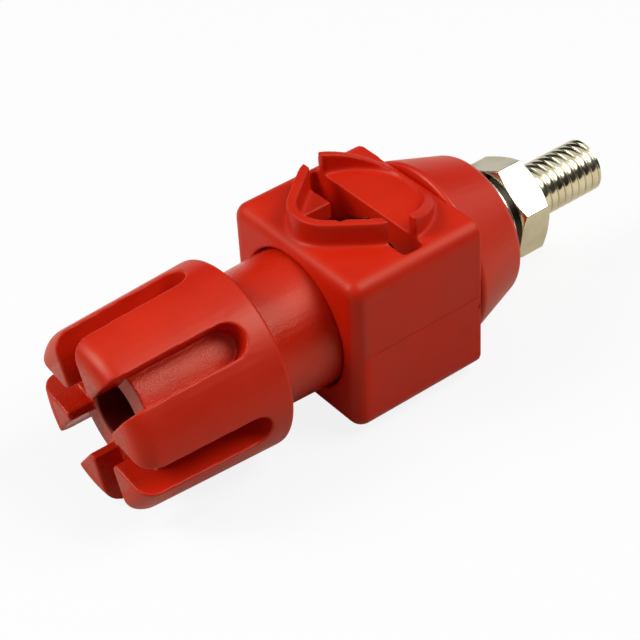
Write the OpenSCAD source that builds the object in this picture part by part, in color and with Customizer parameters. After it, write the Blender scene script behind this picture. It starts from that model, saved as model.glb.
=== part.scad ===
// Insulated high-current binding post with a square body, a screw-down
// finger knob and an M6 rear stud.
// X runs along the post, from the knob (-X) to the rear stud (+X).
// The origin is on the axis, on the face that bears on the panel. Z is up.

/* [Body block] */
// Width of the block, side to side
body_w = 20; // [19:0.5:26]
// Height of the block
body_h = 18.4; // [18:0.2:26]
// Thickness of the web behind the contact flange
web_t = 3.3; // [2:0.1:6]
// Length of the guide for the neck, from the front face to the wire port
guide_len = 4.1; // [3:0.1:8]
// Radius of the long edges
edge_r = 1.75; // [0.5:0.05:2.5]
// Radius of the edges round the front face
front_edge_r = 1.5; // [0.5:0.05:2.4]

/* [Wire port] */
// Length of the wire port along the post
port_len = 6; // [5:0.1:8]
// Width of the wire port
port_w = 6; // [5:0.1:8]
// Width of the slot for flat lugs
lug_slot_w = 2.5; // [1.5:0.1:3.5]
// Length of the slot for flat lugs, across the block
lug_slot_len = 17; // [16.4:0.1:17.4]
// Depth of the lug slot below the axis
lug_slot_drop = 2; // [0:0.5:4]

/* [Port collar] */
// Height of the collar above the block
collar_h = 2.65; // [1:0.05:4]
// Thickness of the collar wall
collar_t = 1.05; // [0.8:0.05:1.6]
// Distance of the collar's middle from the post's axis, towards +Y
collar_side = 0.5; // [0:0.1:0.6]
// Radius of the collar's nose
nose_r = 4.2; // [2.5:0.1:5]
// Radius of the collar's shoulders
shoulder_r = 4; // [2.5:0.1:5]
// Distance from the lug slot's middle to the nose
nose_reach = 7.6; // [6:0.1:8]
// Half width of the collar over its shoulders
collar_half_w = 7; // [6:0.05:7.4]
// Radius of the round wall behind the lug slot
tail_r = 7.9; // [7:0.1:8.2]
// Height of the ramps where they start, at the lug slot
ramp_h = 2.4; // [1:0.05:4]
// Radius of the convex slope that takes the ramps down to the block
ramp_r = 26; // [15:1:60]

/* [Panel spigot] */
// Radius of the spigot that locates the block in the panel
spigot_r = 5.6; // [4.5:0.1:6.5]
// Length of the spigot
spigot_len = 4.5; // [2:0.1:5]
// Width over the two flats that keep the spigot from turning
spigot_flats = 9.6; // [8:0.1:11]

/* [Contact stud] */
// Radius of the threaded barrel inside the block
barrel_r = 4.95; // [4.5:0.05:5.2]
// Gap left in front of the barrel when the knob is screwed right in
barrel_end_gap = 0.3; // [0.2:0.1:1]
// Radius of the plug socket
socket_r = 2; // [1.5:0.05:2.1]
// Depth of the plug socket
socket_depth = 14.5; // [10:0.5:14.5]
// Radius of the cross hole for bare wire
wire_hole_r = 2.75; // [1.5:0.05:2.8]
// Size of the flange across its flats
flange_af = 13; // [12:0.1:13.4]
// Thickness of the flange
flange_t = 3; // [2:0.1:4]
// Radius of the rear stud, over its thread
stud_r = 3; // [2.5:0.05:3.5]
// Length of the rear stud behind the panel face
stud_len = 24.3; // [22:0.1:40]
// Size of the chamfers on the ends of the stud and barrel
end_chamfer = 0.6; // [0.2:0.1:0.8]

/* [Knob] */
// How far the rims of the knob and the rear insulator stand proud of the block's sides
rim_proud = 0.2; // [0:0.1:1]
// Length of the knob, without its neck
knob_len = 17; // [15:0.5:22]
// Length of the neck that shows when the post is open
neck_show = 7.8; // [7:0.1:12]
// Radius of the neck at its rear end
neck_r = 7.65; // [7.5:0.05:7.7]
// Draft of the knob's outer face, in degrees
knob_draft = 2.05; // [0:0.05:3]
// Draft of the neck and the slot floors, in degrees
neck_draft = 1.6; // [0:0.1:2.5]
// Number of finger slots
slot_n = 6; // [4:1:8]
// Width of a finger slot
slot_w = 3.7; // [2.5:0.1:4]
// Length of the solid ring behind the slots
ring_len = 2.6; // [1.5:0.1:5]
// Distance from the knob's front to the end of the inner tube
tube_setback = 3.1; // [1:0.1:5]
// Radius of the front bore
plug_bore_r = 3.93; // [3:0.01:4.5]
// Radius of the clear hole between the tips of the fingers
tip_r = 4.4; // [4:0.1:5]
// Depth of the front bore, from the end of the inner tube
plug_bore_depth = 4.8; // [3:0.1:5]
// Radius of the edge round the knob's front
knob_front_r = 2; // [0.5:0.1:2.6]
// Radius of the edge round the knob's rear
knob_rear_r = 0.4; // [0.2:0.1:1.2]
// Angle of the first finger slot from the side of the block
slot_turn = 9.2; // [0:0.1:60]

/* [Clamp] */
// Radius of the threaded bush moulded into the neck
bush_r = 6.65; // [6.4:0.05:6.8]
// Length of the bush
bush_len = 10; // [6:0.5:12]
// Thickness of the pressure plate
plate_t = 1; // [0.8:0.1:1.6]
// Radius of the pressure plate
plate_r = 7.6; // [7:0.05:7.7]
// Reach of the plate's ears from the axis
ear_reach = 8.2; // [8:0.05:8.4]
// Width of the plate's ears
ear_w = 2.2; // [1:0.1:4]
// Length of the plate's hub inside the bush
hub_len = 1.6; // [1:0.1:3]
// Thickness of the hub's wall
hub_t = 0.65; // [0.4:0.05:0.8]

/* [Rear insulator] */
// Thickness of the insulator
disc_t = 7.6; // [6.5:0.1:12]
// Taper of the insulator's rim, in degrees
disc_taper = 15.6; // [0:0.1:20]
// Radius of the edge round the front of the insulator
disc_front_r = 0.5; // [0.2:0.1:1]
// Radius of the edge round the rear of the insulator
disc_rear_r = 1.1; // [0.3:0.1:2]

/* [Washers and nut] */
// Radius of the flat washer
washer_r = 5.5; // [5:0.1:8]
// Thickness of the flat washer
washer_t = 1.5; // [0.8:0.1:2]
// Radius of the spring washer
spring_r = 5; // [4.6:0.1:6]
// Thickness of the spring washer
spring_t = 1.1; // [0.8:0.1:2]
// Width of the split in the spring washer
split_w = 0.6; // [0.3:0.1:1.5]
// Angle at which the split runs across the washer
split_angle = 20; // [0:5:30]
// Size of the nut across its flats
nut_af = 10; // [9:0.1:12]
// Thickness of the nut
nut_t = 3.9; // [2.5:0.1:6]
// Chamfer angle of the nut's corners
nut_chamfer = 30; // [15:1:35]
// Angle of the nut's corner from the side of the block
nut_turn = 37.7; // [0:0.1:60]

/* [Fits] */
// Radial gap of a threaded or sliding fit
fit_gap = 0.05; // [0.02:0.01:0.08]
// Radial gap of a loose hole round the stud
hole_gap = 0.15; // [0.1:0.01:0.3]
// Radial gap between the neck's rear end and the block
neck_gap = 0.17; // [0.12:0.01:0.3]
// Gap that keeps neighbouring faces apart
face_gap = 0.05; // [0.02:0.01:0.1]

/* [Hidden] */
$fn = 96;
blend_fn = 32;
outline_fn = 64;
cut = 1;
hex = 6;

red = "firebrick";
dark_red = "darkred";
nickel = "silver";
brass = "goldenrod";

// Places along the post, from the panel face forwards
flange_back_x = -web_t;
flange_face_x = flange_back_x - flange_t;
port_front_x = flange_face_x - port_len;
body_front_x = port_front_x - guide_len;
lug_slot_x = flange_face_x - lug_slot_w;
slot_mid_x = flange_face_x - lug_slot_w / 2;
plate_back_x = port_front_x - face_gap;
plate_front_x = plate_back_x - plate_t;
neck_back_x = plate_front_x - face_gap;
knob_back_x = body_front_x - neck_show;
knob_front_x = knob_back_x - knob_len;
tube_front_x = knob_front_x + tube_setback;
cavity_front_x = tube_front_x + plug_bore_depth;
barrel_front_x = cavity_front_x + port_len + barrel_end_gap;
slot_end_x = knob_back_x - ring_len;
wire_hole_x = flange_face_x - wire_hole_r - face_gap;

// Places along the post, from the panel face backwards
washer_x = disc_t;
spring_x = washer_x + washer_t;
nut_x = spring_x + spring_t;

// Radii of the knob's rear rim and the insulator's front rim
knob_r = body_w / 2 + rim_proud;
disc_r = knob_r;

// Radii that follow from the fits
bore_r = neck_r + neck_gap;
thread_bore_r = barrel_r + fit_gap;
stud_hole_r = stud_r + hole_gap;
hub_r = thread_bore_r + hub_t;

function neck_r_at(x) = neck_r - tan(neck_draft) * (neck_back_x - x);
function knob_r_at(x) = knob_r - tan(knob_draft) * (knob_back_x - x);
function disc_r_at(x) = disc_r - tan(disc_taper) * (x - disc_front_r);
function arc(cx, cy, r, a0, a1, n = 8) =
    [for (i = [0:n]) let (a = a0 + (a1 - a0) * i / n) [cx + r * cos(a), cy + r * sin(a)]];

// Turns a profile drawn as [place along the post, radius] round the post
module turned(points) {
    rotate([90, 0, 90]) rotate_extrude() polygon([for (p = points) [p[1], p[0]]]);
}

// A cylinder along the post between two places
module along(x0, x1, r) {
    translate([x0, 0, 0]) rotate([0, 90, 0]) cylinder(h = x1 - x0, r = r);
}

// A hexagonal bar along the post between two places
module hex_along(x0, x1, af) {
    translate([x0, 0, 0]) rotate([0, 90, 0])
        cylinder(h = x1 - x0, r = af / sqrt(3), $fn = hex);
}

// One corner of the block's rounded front, where two front edges meet a long edge
module front_corner(y, z) {
    translate([body_front_x + front_edge_r, y, z]) rotate([90, 0, 90]) rotate_extrude()
        intersection() {
            union() {
                translate([edge_r - front_edge_r, 0]) circle(r = front_edge_r);
                translate([0, -front_edge_r]) square([edge_r - front_edge_r, front_edge_r]);
            }
            translate([0, -front_edge_r]) square([edge_r, front_edge_r]);
        }
}

module block_blank() {
    corner_y = body_w / 2 - edge_r;
    corner_z = body_h / 2 - edge_r;
    shoulder_x = body_front_x + front_edge_r;
    // Main length, with rounded long edges
    translate([shoulder_x, 0, 0]) rotate([90, 0, 90]) linear_extrude(height = -shoulder_x) {
        square([body_w, 2 * corner_z], center = true);
        square([2 * corner_y, body_h], center = true);
        for (y = [-1, 1], z = [-1, 1]) {
            translate([y * corner_y, z * corner_z]) circle(r = edge_r);
        }
    }
    // Rounded front
    translate([body_front_x, -body_w / 2 + front_edge_r, -corner_z])
        cube([front_edge_r, body_w - 2 * front_edge_r, 2 * corner_z]);
    translate([body_front_x, -corner_y, -body_h / 2 + front_edge_r])
        cube([front_edge_r, 2 * corner_y, body_h - 2 * front_edge_r]);
    for (side = [-1, 1]) {
        translate([shoulder_x, 0, side * (body_h / 2 - front_edge_r)]) rotate([90, 0, 0])
            cylinder(h = 2 * corner_y, r = front_edge_r, center = true);
        translate([shoulder_x, side * (body_w / 2 - front_edge_r), 0])
            cylinder(h = 2 * corner_z, r = front_edge_r, center = true);
    }
    for (y = [-1, 1], z = [-1, 1]) {
        front_corner(y * corner_y, z * corner_z);
    }
}

// Outline of the collar round the port, shrunk by a wall thickness: a blunt nose in
// front of the lug slot, a round wall behind it
module collar_outline(shrink) {
    translate([slot_mid_x, collar_side]) {
        hull() {
            translate([nose_r - nose_reach, 0])
                circle(r = nose_r - shrink, $fn = outline_fn);
            for (side = [-1, 1]) {
                translate([0, side * (collar_half_w - shoulder_r)])
                    circle(r = shoulder_r - shrink, $fn = outline_fn);
            }
        }
        intersection() {
            circle(r = tail_r - shrink);
            translate([0, -tail_r]) square([2 * tail_r, 2 * tail_r]);
        }
    }
}

// The collar's side view: level over the nose, then a convex slope from the lug slot
// down to the block's rear edge
module collar_slope() {
    top = body_h / 2 + collar_h;
    slot_back_x = flange_face_x;
    chord = [-slot_back_x, ramp_h];
    half_angle = asin(norm(chord) / 2 / ramp_r);
    mean_angle = 90 - atan(chord[1] / chord[0]);
    start = mean_angle + half_angle;
    rotate([90, 0, 0]) linear_extrude(height = 2 * body_w, center = true)
        polygon(concat([[body_front_x, 0], [body_front_x, top], [slot_mid_x, top]],
            arc(slot_back_x - ramp_r * cos(start), body_h / 2 + ramp_h - ramp_r * sin(start),
                ramp_r, start, mean_angle - half_angle),
            [[0, 0]]));
}

module collar() {
    intersection() {
        translate([0, 0, body_h / 2 - cut]) linear_extrude(height = collar_h + cut)
            difference() {
                collar_outline(0);
                collar_outline(collar_t);
            }
        collar_slope();
    }
}

module spigot(grow, length) {
    intersection() {
        along(-cut, length, spigot_r + grow);
        translate([-cut, -spigot_flats / 2 - grow, -2 * spigot_r])
            cube([length + cut, spigot_flats + 2 * grow, 4 * spigot_r]);
    }
}

module body_block() {
    color(red) difference() {
        union() {
            block_blank();
            collar();
            spigot(0, spigot_len);
        }
        // Guide bore for the neck
        along(body_front_x - cut, flange_face_x, bore_r);
        // Pocket that keeps the flange from turning
        hex_along(flange_face_x - cut, flange_back_x, flange_af + 2 * fit_gap);
        // Hole for the stud
        along(flange_back_x - cut, spigot_len + cut, stud_hole_r);
        // Wire port
        translate([port_front_x, -port_w / 2, 0]) cube([port_len, port_w, body_h]);
        // Slot for flat lugs, right through the collar
        translate([lug_slot_x, -lug_slot_len / 2, -lug_slot_drop])
            cube([lug_slot_w, lug_slot_len, body_h]);
        // Keyways for the pressure plate's ears
        translate([plate_front_x - 2 * face_gap, -ear_reach - hole_gap, -ear_w / 2 - hole_gap])
            cube([flange_face_x - plate_front_x + 2 * face_gap,
                  2 * (ear_reach + hole_gap), ear_w + 2 * hole_gap]);
    }
}

module contact_stud() {
    color(nickel) difference() {
        union() {
            turned([[flange_face_x - cut, 0],
                    [barrel_front_x, 0],
                    [barrel_front_x, barrel_r - end_chamfer],
                    [barrel_front_x + end_chamfer, barrel_r],
                    [flange_back_x - cut, barrel_r],
                    [flange_back_x - cut, stud_r],
                    [stud_len - end_chamfer, stud_r],
                    [stud_len, stud_r - end_chamfer],
                    [stud_len, 0]]);
            hex_along(flange_face_x, flange_back_x, flange_af);
        }
        // Plug socket with a countersunk mouth
        along(barrel_front_x - cut, barrel_front_x + socket_depth, socket_r);
        turned([[barrel_front_x - cut, 0],
                [barrel_front_x - cut, socket_r + end_chamfer + cut],
                [barrel_front_x + end_chamfer, socket_r],
                [barrel_front_x + end_chamfer, 0]]);
        // Cross hole for bare wire
        translate([wire_hole_x, 0, 0])
            cylinder(h = 4 * barrel_r, r = wire_hole_r, center = true);
    }
}

// A slot cut in from the rim, with a round end
module finger_slot() {
    end_x = slot_end_x - slot_w / 2;
    translate([0, 0, tip_r / 2]) linear_extrude(height = 2 * knob_r) {
        translate([end_x, 0]) circle(r = slot_w / 2);
        translate([knob_front_x - cut, -slot_w / 2])
            square([end_x - knob_front_x + cut, slot_w]);
    }
}

module knob_fingers() {
    front_r = knob_r_at(knob_front_x);
    difference() {
        turned(concat(
            [[knob_back_x, 0], [knob_back_x, knob_r - knob_rear_r]],
            [for (p = arc(0, 0, knob_rear_r, 0, 90))
                [knob_back_x - knob_rear_r + p[0], knob_r - knob_rear_r + p[1]]],
            [for (p = arc(0, 0, knob_front_r, 90, 180))
                [knob_front_x + knob_front_r + p[0], front_r - knob_front_r + p[1]]],
            [[knob_front_x, 0]]));
        for (i = [0:slot_n - 1]) {
            rotate([slot_turn - 90 + i * 360 / slot_n, 0, 0]) finger_slot();
        }
    }
}

module clamp_knob() {
    color(red) difference() {
        union() {
            knob_fingers();
            turned([[neck_back_x, 0],
                    [neck_back_x, neck_r],
                    [tube_front_x, neck_r_at(tube_front_x)],
                    [tube_front_x, 0]]);
        }
        // Clear hole between the fingers, and the front bore for the plug
        along(knob_front_x - cut, tube_front_x, tip_r);
        along(tube_front_x - cut, cavity_front_x + cut, plug_bore_r);
        // Room for the barrel
        along(cavity_front_x, neck_back_x, barrel_r + 2 * hole_gap);
        // Seat of the threaded bush
        along(neck_back_x - bush_len, neck_back_x + cut, bush_r);
    }
}

module threaded_bush() {
    color(brass) difference() {
        along(neck_back_x - bush_len + face_gap, neck_back_x, bush_r - fit_gap / 2);
        along(neck_back_x - bush_len - cut, neck_back_x + cut, thread_bore_r);
        // Counterbore in which the plate's hub turns
        along(neck_back_x - hub_len - face_gap, neck_back_x + cut, hub_r + fit_gap);
    }
}

module pressure_plate() {
    color(nickel) difference() {
        union() {
            along(plate_front_x, plate_back_x, plate_r);
            translate([plate_front_x, -ear_reach, -ear_w / 2])
                cube([plate_t, 2 * ear_reach, ear_w]);
            along(neck_back_x - hub_len, plate_back_x, hub_r);
        }
        along(neck_back_x - hub_len - cut, plate_back_x + cut, thread_bore_r);
    }
}

module rear_insulator() {
    rear_r = disc_r_at(disc_t);
    color(dark_red) difference() {
        turned(concat(
            [[0, 0]],
            [for (p = arc(disc_front_r, disc_r - disc_front_r, disc_front_r, 180, 90)) p],
            [for (p = arc(disc_t - disc_rear_r, rear_r - disc_rear_r, disc_rear_r,
                          90 - disc_taper, 0)) p],
            [[disc_t, 0]]));
        spigot(hole_gap, spigot_len + hole_gap);
        along(-cut, disc_t + cut, stud_hole_r);
    }
}

module flat_washer() {
    color(nickel) difference() {
        along(washer_x, spring_x, washer_r);
        along(washer_x - cut, spring_x + cut, stud_hole_r);
    }
}

module spring_washer() {
    color(nickel) difference() {
        along(spring_x, nut_x, spring_r);
        along(spring_x - cut, nut_x + cut, stud_hole_r);
        translate([(spring_x + nut_x) / 2, 0, spring_r]) rotate([0, 0, split_angle])
            cube([4 * spring_t, split_w, 2 * spring_r], center = true);
    }
}

module hex_nut() {
    corner_r = nut_af / sqrt(3);
    drop = (corner_r - nut_af / 2) * tan(nut_chamfer);
    color(nickel) difference() {
        intersection() {
            rotate([nut_turn, 0, 0]) rotate([90, 0, 0]) hex_along(nut_x, nut_x + nut_t, nut_af);
            turned([[nut_x, 0],
                    [nut_x, nut_af / 2],
                    [nut_x + 2 * drop, nut_af / 2 + 2 * (corner_r - nut_af / 2)],
                    [nut_x + nut_t - 2 * drop, nut_af / 2 + 2 * (corner_r - nut_af / 2)],
                    [nut_x + nut_t, nut_af / 2],
                    [nut_x + nut_t, 0]]);
        }
        along(nut_x - cut, nut_x + nut_t + cut, stud_r + fit_gap);
    }
}

body_block();
contact_stud();
clamp_knob();
threaded_bush();
pressure_plate();
rear_insulator();
flat_washer();
spring_washer();
hex_nut();
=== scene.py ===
import math

import bpy
from mathutils import Matrix, Vector


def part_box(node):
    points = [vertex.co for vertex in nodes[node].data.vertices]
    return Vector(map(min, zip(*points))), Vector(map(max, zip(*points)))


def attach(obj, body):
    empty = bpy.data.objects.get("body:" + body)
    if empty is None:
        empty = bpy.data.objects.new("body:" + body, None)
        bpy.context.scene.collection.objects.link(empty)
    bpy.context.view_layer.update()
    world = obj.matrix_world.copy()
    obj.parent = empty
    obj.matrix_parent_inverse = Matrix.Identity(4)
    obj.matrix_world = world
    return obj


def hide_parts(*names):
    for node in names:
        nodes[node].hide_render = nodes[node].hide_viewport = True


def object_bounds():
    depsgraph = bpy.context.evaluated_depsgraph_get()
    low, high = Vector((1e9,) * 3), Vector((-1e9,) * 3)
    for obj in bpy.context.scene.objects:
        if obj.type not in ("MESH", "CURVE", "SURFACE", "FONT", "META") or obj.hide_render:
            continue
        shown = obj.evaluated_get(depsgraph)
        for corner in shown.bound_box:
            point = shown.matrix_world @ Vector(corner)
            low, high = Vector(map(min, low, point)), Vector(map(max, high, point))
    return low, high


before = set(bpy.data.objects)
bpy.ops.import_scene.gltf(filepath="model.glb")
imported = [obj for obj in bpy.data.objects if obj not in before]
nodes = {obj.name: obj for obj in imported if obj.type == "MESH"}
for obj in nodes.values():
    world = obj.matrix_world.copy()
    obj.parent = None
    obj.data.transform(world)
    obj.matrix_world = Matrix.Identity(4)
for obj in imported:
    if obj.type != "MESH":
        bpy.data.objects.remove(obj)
cad_low, cad_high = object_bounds()
mm = 0.001


# Camera: a long lens from the knob's side, a little above the post, turned to show
# the slotted knob, the wire port and the rear stud together.
view_centre = Vector((-14.62, -1.92, 0.0)) * mm
view_turn = math.radians(-36.03)
view_rise = math.radians(39.24)
view_roll = math.radians(-3.57)
view_distance = 207.83 * mm
towards = Vector((math.sin(view_turn) * math.cos(view_rise),
                  -math.cos(view_turn) * math.cos(view_rise),
                  math.sin(view_rise)))
bpy.ops.object.camera_add(location=view_centre + towards * view_distance)
camera = bpy.context.object
camera.name = "camera"
camera.data.sensor_width = 36.0
camera.data.lens = 115.68
camera.data.clip_start = 0.01
camera.data.clip_end = 20.0
camera_turn = towards.to_track_quat("Z", "Y").to_matrix() @ Matrix.Rotation(view_roll, 3, "Z")
camera.rotation_euler = camera_turn.to_euler()
bpy.context.scene.camera = camera


# Floor: a pale matt tabletop under the post, bright enough to read as white, that
# keeps the post's soft shadow. Its reflection in the metal and the gloss is warmer.
floor_size = 3.0
floor_white = (0.98, 0.98, 0.98, 1.0)
floor_mirrored = (0.98, 0.90, 0.74, 1.0)
floor_bounce = (0.34, 0.33, 0.31, 1.0)
floor_glow = 0.86
bpy.ops.object.select_all(action="DESELECT")
bpy.ops.mesh.primitive_plane_add(size=floor_size, location=(0, 0, cad_low.z))
floor = bpy.context.object
floor.name = "tabletop"
tabletop = bpy.data.materials.new("tabletop")
tabletop.use_nodes = True
tree = tabletop.node_tree
dull = tree.nodes["Principled BSDF"]
dull.inputs["Base Color"].default_value = floor_bounce
dull.inputs["Roughness"].default_value = 0.9
dull.inputs["Specular IOR Level"].default_value = 0.0
warm = tree.nodes.new("ShaderNodeBsdfDiffuse")
warm.inputs["Color"].default_value = floor_mirrored
paint = tree.nodes.new("ShaderNodeBsdfDiffuse")
paint.inputs["Color"].default_value = floor_white
glow = tree.nodes.new("ShaderNodeEmission")
glow.inputs["Color"].default_value = (1.0, 1.0, 1.0, 1.0)
glow.inputs["Strength"].default_value = 1.0
path = tree.nodes.new("ShaderNodeLightPath")
seen = tree.nodes.new("ShaderNodeMath")
seen.operation = "MAXIMUM"
lit = tree.nodes.new("ShaderNodeMixShader")
lit.inputs["Fac"].default_value = floor_glow
mirrored = tree.nodes.new("ShaderNodeMixShader")
mix = tree.nodes.new("ShaderNodeMixShader")
tree.links.new(path.outputs["Is Camera Ray"], seen.inputs[0])
tree.links.new(path.outputs["Is Transmission Ray"], seen.inputs[1])
tree.links.new(path.outputs["Is Glossy Ray"], mirrored.inputs["Fac"])
tree.links.new(dull.outputs["BSDF"], mirrored.inputs[1])
tree.links.new(warm.outputs["BSDF"], mirrored.inputs[2])
tree.links.new(paint.outputs["BSDF"], lit.inputs[1])
tree.links.new(glow.outputs["Emission"], lit.inputs[2])
tree.links.new(seen.outputs["Value"], mix.inputs["Fac"])
tree.links.new(mirrored.outputs["Shader"], mix.inputs[1])
tree.links.new(lit.outputs["Shader"], mix.inputs[2])
tree.links.new(mix.outputs["Shader"], tree.nodes["Material Output"].inputs["Surface"])
floor.data.materials.append(tabletop)


# Studio: a plain white surround and two soft lamps, above the stud's side and above the knob's, with
# a small bright one by the second. The metal and the gloss mirror a pale ceiling, a grey card that
# glows and shows in reflections only, a painted reflection, and dark screens round the table.
surround_level = 0.12
studio = bpy.data.worlds.new("studio")
bpy.context.scene.world = studio
studio.use_nodes = True
tree = studio.node_tree
surround = tree.nodes["Background"]
surround.inputs["Color"].default_value = (1.0, 1.0, 1.0, 1.0)
surround.inputs["Strength"].default_value = surround_level
backdrop = tree.nodes.new("ShaderNodeBackground")
backdrop.inputs["Color"].default_value = (1.0, 1.0, 1.0, 1.0)
backdrop.inputs["Strength"].default_value = 1.0
path = tree.nodes.new("ShaderNodeLightPath")
camera_or_glossy = tree.nodes.new("ShaderNodeMath")
camera_or_glossy.operation = "MAXIMUM"
seen = tree.nodes.new("ShaderNodeMath")
seen.operation = "MAXIMUM"
mix = tree.nodes.new("ShaderNodeMixShader")
tree.links.new(path.outputs["Is Camera Ray"], camera_or_glossy.inputs[0])
tree.links.new(path.outputs["Is Glossy Ray"], camera_or_glossy.inputs[1])
tree.links.new(camera_or_glossy.outputs["Value"], seen.inputs[0])
tree.links.new(path.outputs["Is Transmission Ray"], seen.inputs[1])
tree.links.new(seen.outputs["Value"], mix.inputs["Fac"])
tree.links.new(surround.outputs["Background"], mix.inputs[1])
tree.links.new(backdrop.outputs["Background"], mix.inputs[2])
tree.links.new(mix.outputs["Shader"], tree.nodes["World Output"].inputs["Surface"])


def soft_lamp(name, direction, distance, width, power):
    """A round lamp that faces the post from a direction."""
    place = view_centre + Vector(direction).normalized() * distance
    bpy.ops.object.light_add(type="AREA", location=place)
    lamp = bpy.context.object
    lamp.name = name
    lamp.data.shape = "DISK"
    lamp.data.size = width
    lamp.data.energy = power
    lamp.rotation_euler = (place - view_centre).to_track_quat("Z", "Y").to_euler()
    return lamp


def card(name, level):
    """A plain card of an even grey, which glows at the given level."""
    material = bpy.data.materials.new(name)
    material.use_nodes = True
    paper = material.node_tree.nodes["Principled BSDF"]
    paper.inputs["Base Color"].default_value = (0.02, 0.018, 0.015, 1.0)
    paper.inputs["Roughness"].default_value = 0.9
    paper.inputs["Emission Color"].default_value = (1.0, 0.97, 0.9, 1.0)
    paper.inputs["Emission Strength"].default_value = level
    return material


def mirrored_screen(name, facing, distance, width, height, material):
    """A flat screen that shows in reflections only and throws no shadow."""
    facing = Vector(facing).normalized()
    bpy.ops.object.select_all(action="DESELECT")
    bpy.ops.mesh.primitive_plane_add(size=1.0, location=view_centre + facing * distance)
    screen = bpy.context.object
    screen.name = name
    screen.scale = (width, height, 1.0)
    screen.rotation_euler = facing.to_track_quat("Z", "Y").to_euler()
    screen.visible_camera = False
    screen.visible_shadow = False
    screen.visible_diffuse = False
    screen.data.materials.append(material)


soft_lamp("stud_side_lamp", (0.45, -0.40, 0.79), 0.50, 0.31, 1.42)
knob_side = (-0.63, 0.37, 0.68)
soft_lamp("knob_side_lamp", knob_side, 0.50, 0.32, 1.20)
soft_lamp("glint_lamp", knob_side, 0.48, 0.09, 0.32)
black_card = card("black_card", 0.0)
# The ceiling card glows but is seen only in reflections: a painted reflection.
glowing_ceiling_card = card("glowing_ceiling_card", 0.80)
camera_side = (math.sin(view_turn), -math.cos(view_turn), 0.42)
mirrored_screen("camera_screen", camera_side, 0.42, 0.78, 0.40, black_card)
mirrored_screen("front_screen", (0.50, -0.82, 0.27), 0.30, 0.50, 0.21, black_card)
mirrored_screen("rear_screen", (0.44, 0.74, 0.42), 0.60, 1.10, 0.40, black_card)
mirrored_screen("knob_screen", (-0.80, 0.45, 0.28), 0.62, 0.90, 0.35, black_card)
mirrored_screen("ceiling", (0.0, 0.0, 1.0), 0.62, 1.60, 1.60, glowing_ceiling_card)
bpy.context.scene.view_settings.view_transform = "Standard"


# Body block: one moulding in red glass-filled plastic with the collar round its wire
# port, the slot for flat lugs and the spigot that sits in the panel. The mould's halves
# meet in a fine line along its side.
def choose(piece):
    """Makes a piece the only selected one and the active one."""
    bpy.ops.object.select_all(action="DESELECT")
    piece.select_set(True)
    bpy.context.view_layer.objects.active = piece


def coat(piece, material):
    """Gives a piece one material in place of what it had."""
    piece.data.materials.clear()
    piece.data.materials.append(material)


def moulding(name, node, grain, passes, share):
    """A soft-edged copy of a node's solid, made of a share of its fine faces."""
    piece = bpy.data.objects.new(name, nodes[node].data.copy())
    bpy.context.scene.collection.objects.link(piece)
    choose(piece)
    bpy.ops.object.mode_set(mode="EDIT")
    bpy.ops.mesh.select_all(action="SELECT")
    bpy.ops.mesh.remove_doubles(threshold=0.002 * mm)
    bpy.ops.object.mode_set(mode="OBJECT")
    bpy.ops.object.modifier_add(type="REMESH")
    remesh = piece.modifiers[-1]
    remesh.mode = "VOXEL"
    remesh.voxel_size = grain
    bpy.ops.object.modifier_apply(modifier=remesh.name)
    bpy.ops.object.modifier_add(type="SMOOTH")
    smooth = piece.modifiers[-1]
    smooth.factor = 0.5
    smooth.iterations = passes
    bpy.ops.object.modifier_apply(modifier=smooth.name)
    if share < 1.0:
        bpy.ops.object.modifier_add(type="DECIMATE")
        thinning = piece.modifiers[-1]
        thinning.ratio = share
        bpy.ops.object.modifier_apply(modifier=thinning.name)
    bpy.ops.object.shade_smooth()
    return piece


def soften(piece, chosen, passes):
    """Rounds the edges of a dense mesh further where chosen(place) is true."""
    choose(piece)
    bpy.ops.object.mode_set(mode="EDIT")
    bpy.ops.mesh.select_mode(type="VERT")
    bpy.ops.mesh.select_all(action="DESELECT")
    bpy.ops.object.mode_set(mode="OBJECT")
    for point in piece.data.vertices:
        point.select = chosen(point.co)
    bpy.ops.object.mode_set(mode="EDIT")
    bpy.ops.mesh.vertices_smooth(factor=0.5, repeat=passes)
    bpy.ops.object.mode_set(mode="OBJECT")


def thin_out(piece, angle):
    """Dissolves the flat faces of a dense mesh."""
    choose(piece)
    bpy.ops.object.modifier_add(type="DECIMATE")
    decimate = piece.modifiers[-1]
    decimate.decimate_type = "DISSOLVE"
    decimate.angle_limit = math.radians(angle)
    bpy.ops.object.modifier_apply(modifier=decimate.name)


def true_shading(piece):
    """Shades smoothly, with the flat faces kept flat."""
    choose(piece)
    bpy.ops.object.shade_smooth()
    bpy.ops.object.modifier_add(type="WEIGHTED_NORMAL")
    bpy.ops.object.modifier_apply(modifier=piece.modifiers[-1].name)


warm_gloss = (1.0, 0.78, 0.58, 1.0)


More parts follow.
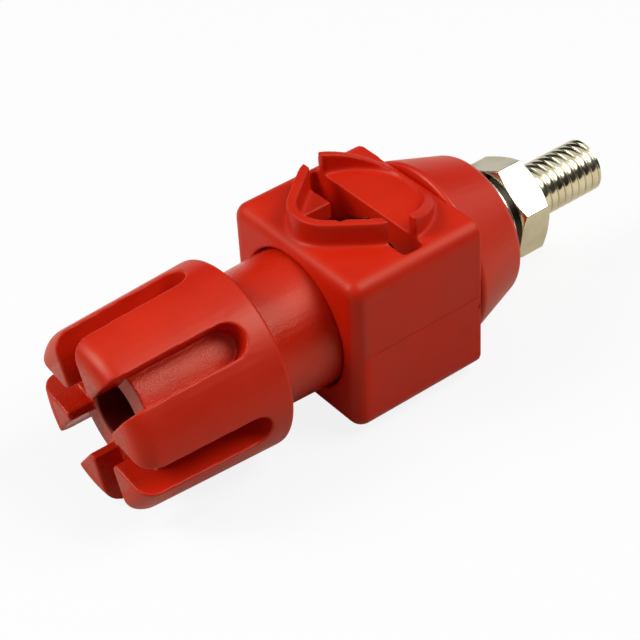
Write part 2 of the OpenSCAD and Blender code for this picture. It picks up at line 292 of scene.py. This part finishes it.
def red_plastic(name, deep, bright, roughness, gloss):
    """Moulded red plastic: a little uneven in colour and sheen, with a faint surface grain."""
    material = bpy.data.materials.new(name)
    material.use_nodes = True
    tree = material.node_tree
    shader = tree.nodes["Principled BSDF"]
    shader.inputs["IOR"].default_value = 1.5
    shader.inputs["Specular IOR Level"].default_value = gloss
    shader.inputs["Specular Tint"].default_value = warm_gloss
    place = tree.nodes.new("ShaderNodeTexCoord")
    clouds = tree.nodes.new("ShaderNodeTexNoise")
    clouds.inputs["Scale"].default_value = 160.0
    clouds.inputs["Detail"].default_value = 3.0
    tint = tree.nodes.new("ShaderNodeValToRGB")
    tint.color_ramp.elements[0].position = 0.3
    tint.color_ramp.elements[0].color = deep
    tint.color_ramp.elements[1].position = 0.7
    tint.color_ramp.elements[1].color = bright
    sheen = tree.nodes.new("ShaderNodeMapRange")
    sheen.inputs["From Min"].default_value = 0.3
    sheen.inputs["From Max"].default_value = 0.7
    sheen.inputs["To Min"].default_value = roughness - 0.04
    sheen.inputs["To Max"].default_value = roughness + 0.06
    skin = tree.nodes.new("ShaderNodeTexNoise")
    skin.inputs["Scale"].default_value = 4200.0
    skin.inputs["Detail"].default_value = 2.0
    bump = tree.nodes.new("ShaderNodeBump")
    bump.inputs["Strength"].default_value = 0.12
    bump.inputs["Distance"].default_value = 0.02 * mm
    tree.links.new(place.outputs["Object"], clouds.inputs["Vector"])
    tree.links.new(place.outputs["Object"], skin.inputs["Vector"])
    tree.links.new(clouds.outputs["Fac"], tint.inputs["Fac"])
    tree.links.new(clouds.outputs["Fac"], sheen.inputs["Value"])
    tree.links.new(skin.outputs["Fac"], bump.inputs["Height"])
    tree.links.new(tint.outputs["Color"], shader.inputs["Base Color"])
    tree.links.new(sheen.outputs["Result"], shader.inputs["Roughness"])
    tree.links.new(bump.outputs["Normal"], shader.inputs["Normal"])
    return material


def solid_bar(name, start, end, radius, sides, chamfer):
    """A round or many-sided bar along X with chamfered ends."""
    bpy.ops.object.select_all(action="DESELECT")
    bpy.ops.mesh.primitive_cylinder_add(vertices=sides, radius=radius, depth=end - start,
                                        location=((start + end) / 2, 0, 0),
                                        rotation=(math.pi, math.pi / 2, 0))
    bar = bpy.context.object
    bar.name = name
    bpy.ops.object.transform_apply(location=True, rotation=True, scale=True)
    if chamfer:
        bpy.ops.object.mode_set(mode="EDIT")
        bpy.ops.mesh.select_all(action="DESELECT")
        bpy.ops.mesh.select_mode(type="FACE")
        bpy.ops.object.mode_set(mode="OBJECT")
        for face in bar.data.polygons:
            face.select = abs(face.normal.x) > 0.9
        bpy.ops.object.mode_set(mode="EDIT")
        bpy.ops.mesh.bevel(offset=chamfer, segments=1)
        bpy.ops.object.mode_set(mode="OBJECT")
    return bar


def combine(piece, tool, operation):
    """Joins a solid to the piece, cuts it away or keeps what they share, and drops the tool."""
    choose(piece)
    bpy.ops.object.modifier_add(type="BOOLEAN")
    boolean = piece.modifiers[-1]
    boolean.operation = operation
    boolean.solver = "EXACT"
    boolean.object = tool
    bpy.ops.object.modifier_apply(modifier=boolean.name)
    bpy.data.objects.remove(tool)


def box_tool(low, high):
    """A rectangular cutter between two corners."""
    bpy.ops.object.select_all(action="DESELECT")
    bpy.ops.mesh.primitive_cube_add(size=1.0, location=(Vector(low) + Vector(high)) / 2)
    tool = bpy.context.object
    tool.scale = Vector(high) - Vector(low)
    bpy.ops.object.transform_apply(location=True, rotation=True, scale=True)
    return tool


mould_grain = 0.16 * mm
mould_passes = 6
flat_angle = 0.6
foot_passes = 12
rim_passes = 4
block_top = 9.2 * mm
collar_foot_low = block_top - 0.35 * mm
collar_foot_high = block_top + 0.75 * mm
collar_rim_low = block_top + 1.6 * mm
collar_rear_r = 6.6 * mm
collar_half_w = 5.6 * mm
collar_taper = 0.82
collar_nose_r = 2.8 * mm
collar_middle = Vector((-7.55, 0.5)) * mm
collar_reach = 9.3 * mm
nose_middle = -3.4 * mm
block_side = -10.0 * mm
parting_line_z = 0.18 * mm
parting_front = -15.2 * mm
parting_back = -0.35 * mm
parting_half_w = 0.03 * mm
parting_depth = 0.05 * mm
cut_past = 0.1 * mm
nick_front = -0.42 * mm
nick_back = -0.16 * mm
nick_low = -1.35 * mm
nick_high = -0.75 * mm
nick_depth = 0.16 * mm
guide_r = 7.84 * mm
guide_front = -13.45 * mm
guide_back = -6.29 * mm
keyway_reach = 8.37 * mm
keyway_half_w = 1.27 * mm


def outside_collar(place):
    """True outside the inner face of the collar's wall."""
    ahead = place.x - collar_middle.x
    aside = abs(place.y - collar_middle.y)
    if ahead > 0:
        return math.hypot(ahead, aside) > collar_rear_r
    if ahead > nose_middle:
        return aside > collar_half_w + collar_taper * ahead
    return math.hypot(ahead - nose_middle, aside) > collar_nose_r


def collar_foot(place):
    """True where the collar's outer face meets the block's top."""
    return (collar_foot_low < place.z < collar_foot_high
            and (place.xy - collar_middle).length < collar_reach and outside_collar(place))


def collar_rim(place):
    """True along the collar's upper edges."""
    return place.z > collar_rim_low


block = moulding("block_moulding", "body_block", mould_grain, mould_passes, 1.0)
soften(block, collar_foot, foot_passes)
soften(block, collar_rim, rim_passes)
thin_out(block, flat_angle)
combine(block, box_tool((parting_front, block_side - cut_past, parting_line_z - parting_half_w),
                        (parting_back, block_side + parting_depth, parting_line_z + parting_half_w)),
        "DIFFERENCE")
combine(block, box_tool((nick_front, block_side - cut_past, nick_low),
                        (nick_back, block_side + nick_depth, nick_high)), "DIFFERENCE")
combine(block, solid_bar("plate_guide", guide_front, guide_back, guide_r, 96, 0.0), "DIFFERENCE")
combine(block, box_tool((guide_front, -keyway_reach, -keyway_half_w),
                        (guide_back, keyway_reach, keyway_half_w)), "DIFFERENCE")
true_shading(block)
deep_red = (0.61, 0.011, 0.0004, 1.0)
bright_red = (0.68, 0.016, 0.001, 1.0)
block_red = red_plastic("block_red", deep_red, bright_red, 0.44, 0.34)
coat(block, block_red)
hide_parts("body_block")
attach(block, "root")


# Contact stud: one piece of nickel-plated brass, turned from bar. Its socketed and
# threaded barrel lies inside the block, behind a hexagonal flange that cannot turn,
# and its M6 end passes out through the panel.
def nickel(name, tone, polish, scratch):
    """Bright nickel plate, faintly warm, with fine turning marks."""
    material = bpy.data.materials.new(name)
    material.use_nodes = True
    tree = material.node_tree
    shader = tree.nodes["Principled BSDF"]
    shader.inputs["Metallic"].default_value = 1.0
    place = tree.nodes.new("ShaderNodeTexCoord")
    haze = tree.nodes.new("ShaderNodeTexNoise")
    haze.inputs["Scale"].default_value = 420.0
    haze.inputs["Detail"].default_value = 4.0
    tint = tree.nodes.new("ShaderNodeValToRGB")
    tint.color_ramp.elements[0].position = 0.32
    tint.color_ramp.elements[0].color = (tone[0] * 0.9, tone[1] * 0.88, tone[2] * 0.84, 1.0)
    tint.color_ramp.elements[1].position = 0.62
    tint.color_ramp.elements[1].color = tone
    rub = tree.nodes.new("ShaderNodeMapRange")
    rub.inputs["From Min"].default_value = 0.3
    rub.inputs["From Max"].default_value = 0.7
    rub.inputs["To Min"].default_value = polish - 0.05
    rub.inputs["To Max"].default_value = polish + 0.08
    stretch = tree.nodes.new("ShaderNodeMapping")
    stretch.inputs["Scale"].default_value = (6000.0, 500.0, 500.0)
    marks = tree.nodes.new("ShaderNodeTexNoise")
    marks.inputs["Scale"].default_value = 1.0
    marks.inputs["Detail"].default_value = 2.0
    bump = tree.nodes.new("ShaderNodeBump")
    bump.inputs["Strength"].default_value = scratch
    bump.inputs["Distance"].default_value = 0.01 * mm
    tree.links.new(place.outputs["Object"], haze.inputs["Vector"])
    tree.links.new(place.outputs["Object"], stretch.inputs["Vector"])
    tree.links.new(stretch.outputs["Vector"], marks.inputs["Vector"])
    tree.links.new(haze.outputs["Fac"], tint.inputs["Fac"])
    tree.links.new(haze.outputs["Fac"], rub.inputs["Value"])
    tree.links.new(marks.outputs["Fac"], bump.inputs["Height"])
    tree.links.new(tint.outputs["Color"], shader.inputs["Base Color"])
    tree.links.new(rub.outputs["Result"], shader.inputs["Roughness"])
    tree.links.new(bump.outputs["Normal"], shader.inputs["Normal"])
    return material


def thread(name, start, end, crest, pitch, chamfer):
    """A rolled thread along X: its rounded profile is screwed round the axis and cut to length."""
    depth = 0.22 * pitch
    spare = 0.3 * mm
    profile = [(0.0, 1.0), (0.03, 0.93), (0.07, 0.5), (0.11, 0.1), (0.15, 0.0), (0.5, 0.0),
               (0.85, 0.0), (0.89, 0.1), (0.93, 0.5), (0.97, 0.93), (1.0, 1.0)]
    turns = math.ceil((end - start) / pitch) + 2
    first = start - pitch
    bpy.ops.object.select_all(action="DESELECT")
    bpy.ops.mesh.primitive_plane_add(size=pitch)
    rod = bpy.context.object
    rod.name = name
    rod.data.clear_geometry()
    points = [(first + pitch * share, 0.0, crest - depth * groove) for share, groove in profile]
    rod.data.from_pydata(points, [(i, i + 1) for i in range(len(points) - 1)], [])
    bpy.ops.object.modifier_add(type="SCREW")
    screw = rod.modifiers[-1]
    screw.axis = "X"
    screw.angle = 2 * math.pi * turns
    screw.screw_offset = pitch * turns
    screw.steps = 64 * turns
    screw.render_steps = 64 * turns
    screw.use_merge_vertices = True
    screw.merge_threshold = 0.001 * mm
    bpy.ops.object.modifier_apply(modifier=screw.name)
    bpy.ops.object.mode_set(mode="EDIT")
    bpy.ops.mesh.select_all(action="SELECT")
    bpy.ops.mesh.remove_doubles(threshold=0.004 * mm)
    for place, normal in ((start - spare, (-1, 0, 0)), (end + spare, (1, 0, 0))):
        bpy.ops.mesh.select_all(action="SELECT")
        bpy.ops.mesh.bisect(plane_co=(place, 0, 0), plane_no=normal,
                            clear_outer=True, use_fill=True)
    bpy.ops.mesh.select_all(action="SELECT")
    bpy.ops.mesh.normals_make_consistent(inside=False)
    bpy.ops.object.mode_set(mode="OBJECT")
    combine(rod, solid_bar("cut_to_length", start, end, crest + 0.01 * mm, 96, chamfer), "INTERSECT")
    return rod


nickel_plate = nickel("nickel_plate", (0.74, 0.70, 0.55, 1.0), 0.15, 0.15)
stud_low, stud_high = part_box("contact_stud")
stud_r = 3.0 * mm
barrel_r = 4.95 * mm
flange_front = -6.3 * mm
flange_back = -3.3 * mm
flange_corner = 7.506 * mm
flange_edge_r = 0.2 * mm
socket_r = 2.0 * mm
socket_end = stud_low.x + 14.5 * mm
wire_hole_r = 2.75 * mm
wire_hole_x = -9.1 * mm
turned_chamfer = 0.6 * mm
stud_start = flange_back - 0.5 * mm
stud_pitch = 1.0 * mm
barrel_end = flange_front + 0.8 * mm
barrel_pitch = 1.5 * mm
bore_sides = 64
mouth_r = socket_r + 1.1 * mm
mouth_end_r = socket_r - 0.5 * mm
mouth_len = 1.6 * mm
mouth_middle = stud_low.x + 0.3 * mm
stud = thread("rear_stud", stud_start, stud_high.x, stud_r, stud_pitch, turned_chamfer)
barrel = thread("front_barrel", stud_low.x, barrel_end, barrel_r, barrel_pitch, turned_chamfer)
flange = solid_bar("flange", flange_front, flange_back, flange_corner, 6, 0.0)
bpy.ops.object.mode_set(mode="EDIT")
bpy.ops.mesh.select_all(action="SELECT")
bpy.ops.mesh.bevel(offset=flange_edge_r, segments=2)
bpy.ops.object.mode_set(mode="OBJECT")
combine(stud, flange, "UNION")
combine(stud, barrel, "UNION")
combine(stud, solid_bar("socket", stud_low.x - mouth_len, socket_end, socket_r, bore_sides, 0.0),
        "DIFFERENCE")
bpy.ops.object.select_all(action="DESELECT")
bpy.ops.mesh.primitive_cone_add(vertices=bore_sides, radius1=mouth_r, radius2=mouth_end_r,
                                depth=mouth_len, location=(mouth_middle, 0, 0),
                                rotation=(0, math.pi / 2, 0))
countersink = bpy.context.object
bpy.ops.object.transform_apply(location=True, rotation=True, scale=True)
combine(stud, countersink, "DIFFERENCE")
bpy.ops.object.select_all(action="DESELECT")
bpy.ops.mesh.primitive_cylinder_add(vertices=bore_sides, radius=wire_hole_r, depth=4 * barrel_r,
                                    location=(wire_hole_x, 0, 0))
cross_hole = bpy.context.object
bpy.ops.object.transform_apply(location=True, rotation=True, scale=True)
combine(stud, cross_hole, "DIFFERENCE")
choose(stud)
bpy.ops.object.shade_smooth_by_angle(angle=math.radians(40))
coat(stud, nickel_plate)
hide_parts("contact_stud")
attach(stud, "root")


# Knob: one red moulding of a slotted finger grip, a guide neck and an inner tube for
# the plug. The outside is satin; the neck and the floors of the six slots are
# glossier, with a fine grit.
def from_axis(tree, place):
    """The distance of a point from the post's axis."""
    across = tree.nodes.new("ShaderNodeVectorMath")
    across.operation = "MULTIPLY"
    across.inputs[1].default_value = (0.0, 1.0, 1.0)
    radius = tree.nodes.new("ShaderNodeVectorMath")
    radius.operation = "LENGTH"
    tree.links.new(place.outputs["Object"], across.inputs[0])
    tree.links.new(across.outputs["Vector"], radius.inputs[0])
    return radius.outputs["Value"]


def gritty_inside(material, neck_r, neck_end, draft, grain):
    """Makes the plastic glossy and gritty inside the cone of the neck: the neck and slot floors."""
    tree = material.node_tree
    shader = tree.nodes["Principled BSDF"]
    place = tree.nodes.new("ShaderNodeTexCoord")
    radius = from_axis(tree, place)
    along = tree.nodes.new("ShaderNodeSeparateXYZ")
    cone = tree.nodes.new("ShaderNodeMath")
    cone.operation = "MULTIPLY_ADD"
    cone.inputs[1].default_value = math.tan(draft)
    cone.inputs[2].default_value = neck_r - math.tan(draft) * neck_end
    over = tree.nodes.new("ShaderNodeMath")
    over.operation = "SUBTRACT"
    inside = tree.nodes.new("ShaderNodeMapRange")
    inside.inputs["From Min"].default_value = 0.04 * mm
    inside.inputs["From Max"].default_value = 0.16 * mm
    inside.inputs["To Min"].default_value = 1.0
    inside.inputs["To Max"].default_value = 0.0
    stretch = tree.nodes.new("ShaderNodeMapping")
    stretch.inputs["Scale"].default_value = (1.5, 1.0, 1.0)
    grit = tree.nodes.new("ShaderNodeTexNoise")
    grit.inputs["Scale"].default_value = 1.0 / grain
    grit.inputs["Detail"].default_value = 3.0
    grit.inputs["Roughness"].default_value = 0.6
    grit_bump = tree.nodes.new("ShaderNodeBump")
    grit_bump.inputs["Distance"].default_value = 0.06 * mm
    sheen = shader.inputs["Roughness"].links[0].from_socket
    skin = shader.inputs["Normal"].links[0].from_socket
    blend = tree.nodes.new("ShaderNodeMix")
    blend.inputs["B"].default_value = 0.2
    tree.links.new(place.outputs["Object"], along.inputs["Vector"])
    tree.links.new(along.outputs["X"], cone.inputs[0])
    tree.links.new(radius, over.inputs[0])
    tree.links.new(cone.outputs["Value"], over.inputs[1])
    tree.links.new(over.outputs["Value"], inside.inputs["Value"])
    tree.links.new(inside.outputs["Result"], blend.inputs["Factor"])
    tree.links.new(sheen, blend.inputs["A"])
    tree.links.new(blend.outputs["Result"], shader.inputs["Roughness"])
    tree.links.new(place.outputs["Object"], stretch.inputs["Vector"])
    tree.links.new(stretch.outputs["Vector"], grit.inputs["Vector"])
    tree.links.new(grit.outputs["Fac"], grit_bump.inputs["Height"])
    tree.links.new(inside.outputs["Result"], grit_bump.inputs["Strength"])
    tree.links.new(skin, grit_bump.inputs["Normal"])
    tree.links.new(grit_bump.outputs["Normal"], shader.inputs["Normal"])


def paint_bore_shade(material, bore_r):
    """Paints shade into the front bore: its red is mixed towards a near-black red within the bore's
    radius, fading out just past it, as painted shade for the deep hole.
    """
    fade_start = 0.1 * mm
    fade_end = 0.5 * mm
    tree = material.node_tree
    shader = tree.nodes["Principled BSDF"]
    place = tree.nodes.new("ShaderNodeTexCoord")
    radius = from_axis(tree, place)
    depth = tree.nodes.new("ShaderNodeMapRange")
    depth.inputs["From Min"].default_value = bore_r + fade_start
    depth.inputs["From Max"].default_value = bore_r + fade_end
    depth.inputs["To Min"].default_value = 1.0
    depth.inputs["To Max"].default_value = 0.0
    # Painted shade: the near-black red that the bore's walls are mixed towards.
    deep = tree.nodes.new("ShaderNodeMix")
    deep.data_type = "RGBA"
    deep.inputs["B"].default_value = (0.12, 0.002, 0.001, 1.0)
    red = shader.inputs["Base Color"].links[0].from_socket
    tree.links.new(radius, depth.inputs["Value"])
    tree.links.new(depth.outputs["Result"], deep.inputs["Factor"])
    tree.links.new(red, deep.inputs["A"])
    tree.links.new(deep.outputs["Result"], shader.inputs["Base Color"])


neck_r = 7.65 * mm
neck_end = -13.4 * mm
neck_draft = math.radians(1.6)
grit_grain = 0.2 * mm
plug_bore_r = 3.93 * mm
knob_grain = 0.11 * mm
knob_passes = 20
knob_share = 0.26
knob = moulding("knob_moulding", "clamp_knob", knob_grain, knob_passes, knob_share)
knob_red = red_plastic("knob_red", deep_red, bright_red, 0.40, 0.44)
gritty_inside(knob_red, neck_r, neck_end, neck_draft, grit_grain)
# Painted shade on the walls of the knob's bore.
paint_bore_shade(knob_red, plug_bore_r)
coat(knob, knob_red)
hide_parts("clamp_knob")
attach(knob, "knob")


# Rear insulator: a red moulded disc with a tapered rim, which the washers and the nut
# press against the panel from behind.
insulator = moulding("insulator_moulding", "rear_insulator", mould_grain, mould_passes, 1.0)
thin_out(insulator, flat_angle)
true_shading(insulator)
insulator_deep = (0.62, 0.012, 0.0004, 1.0)
insulator_bright = (0.69, 0.018, 0.001, 1.0)
insulator_red = red_plastic("insulator_red", insulator_deep, insulator_bright, 0.38, 0.50)
coat(insulator, insulator_red)
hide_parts("rear_insulator")
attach(insulator, "backing")


# Flat washer: stamped from brass strip, tumbled and nickel-plated. It spreads the
# nut's force over the insulator.
tumbled_passes = 2
washer_grain = 0.09 * mm
flat_washer = moulding("flat_washer_plated", "flat_washer", washer_grain, tumbled_passes, 1.0)
coat(flat_washer, nickel_plate)
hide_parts("flat_washer")
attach(flat_washer, "backing")


# Spring washer: a split ring of spring steel, coloured near black, which keeps the nut from working
# loose.
spring_grain = 0.08 * mm
spring_washer = moulding("spring_washer_dark", "spring_washer", spring_grain, tumbled_passes, 1.0)
spring_steel = nickel("spring_steel", (0.03, 0.026, 0.02, 1.0), 0.35, 0.4)
coat(spring_washer, spring_steel)
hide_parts("spring_washer")
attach(spring_washer, "backing")


# Hex nut: M6, nickel-plated brass, chamfered at 30 degrees. It draws the whole stack
# tight on the rear stud.
nut_grain = 0.085 * mm
nut = moulding("hex_nut_plated", "hex_nut", nut_grain, tumbled_passes, 1.0)
coat(nut, nickel_plate)
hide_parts("hex_nut")
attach(nut, "nut")


# Pressure plate and bush: the plate is stamped and plated, the bush is turned from
# plain brass and held in the knob.
coat(nodes["pressure_plate"], nickel_plate)
plain_brass = nickel("plain_brass", (0.78, 0.58, 0.27, 1.0), 0.3, 0.5)
coat(nodes["threaded_bush"], plain_brass)
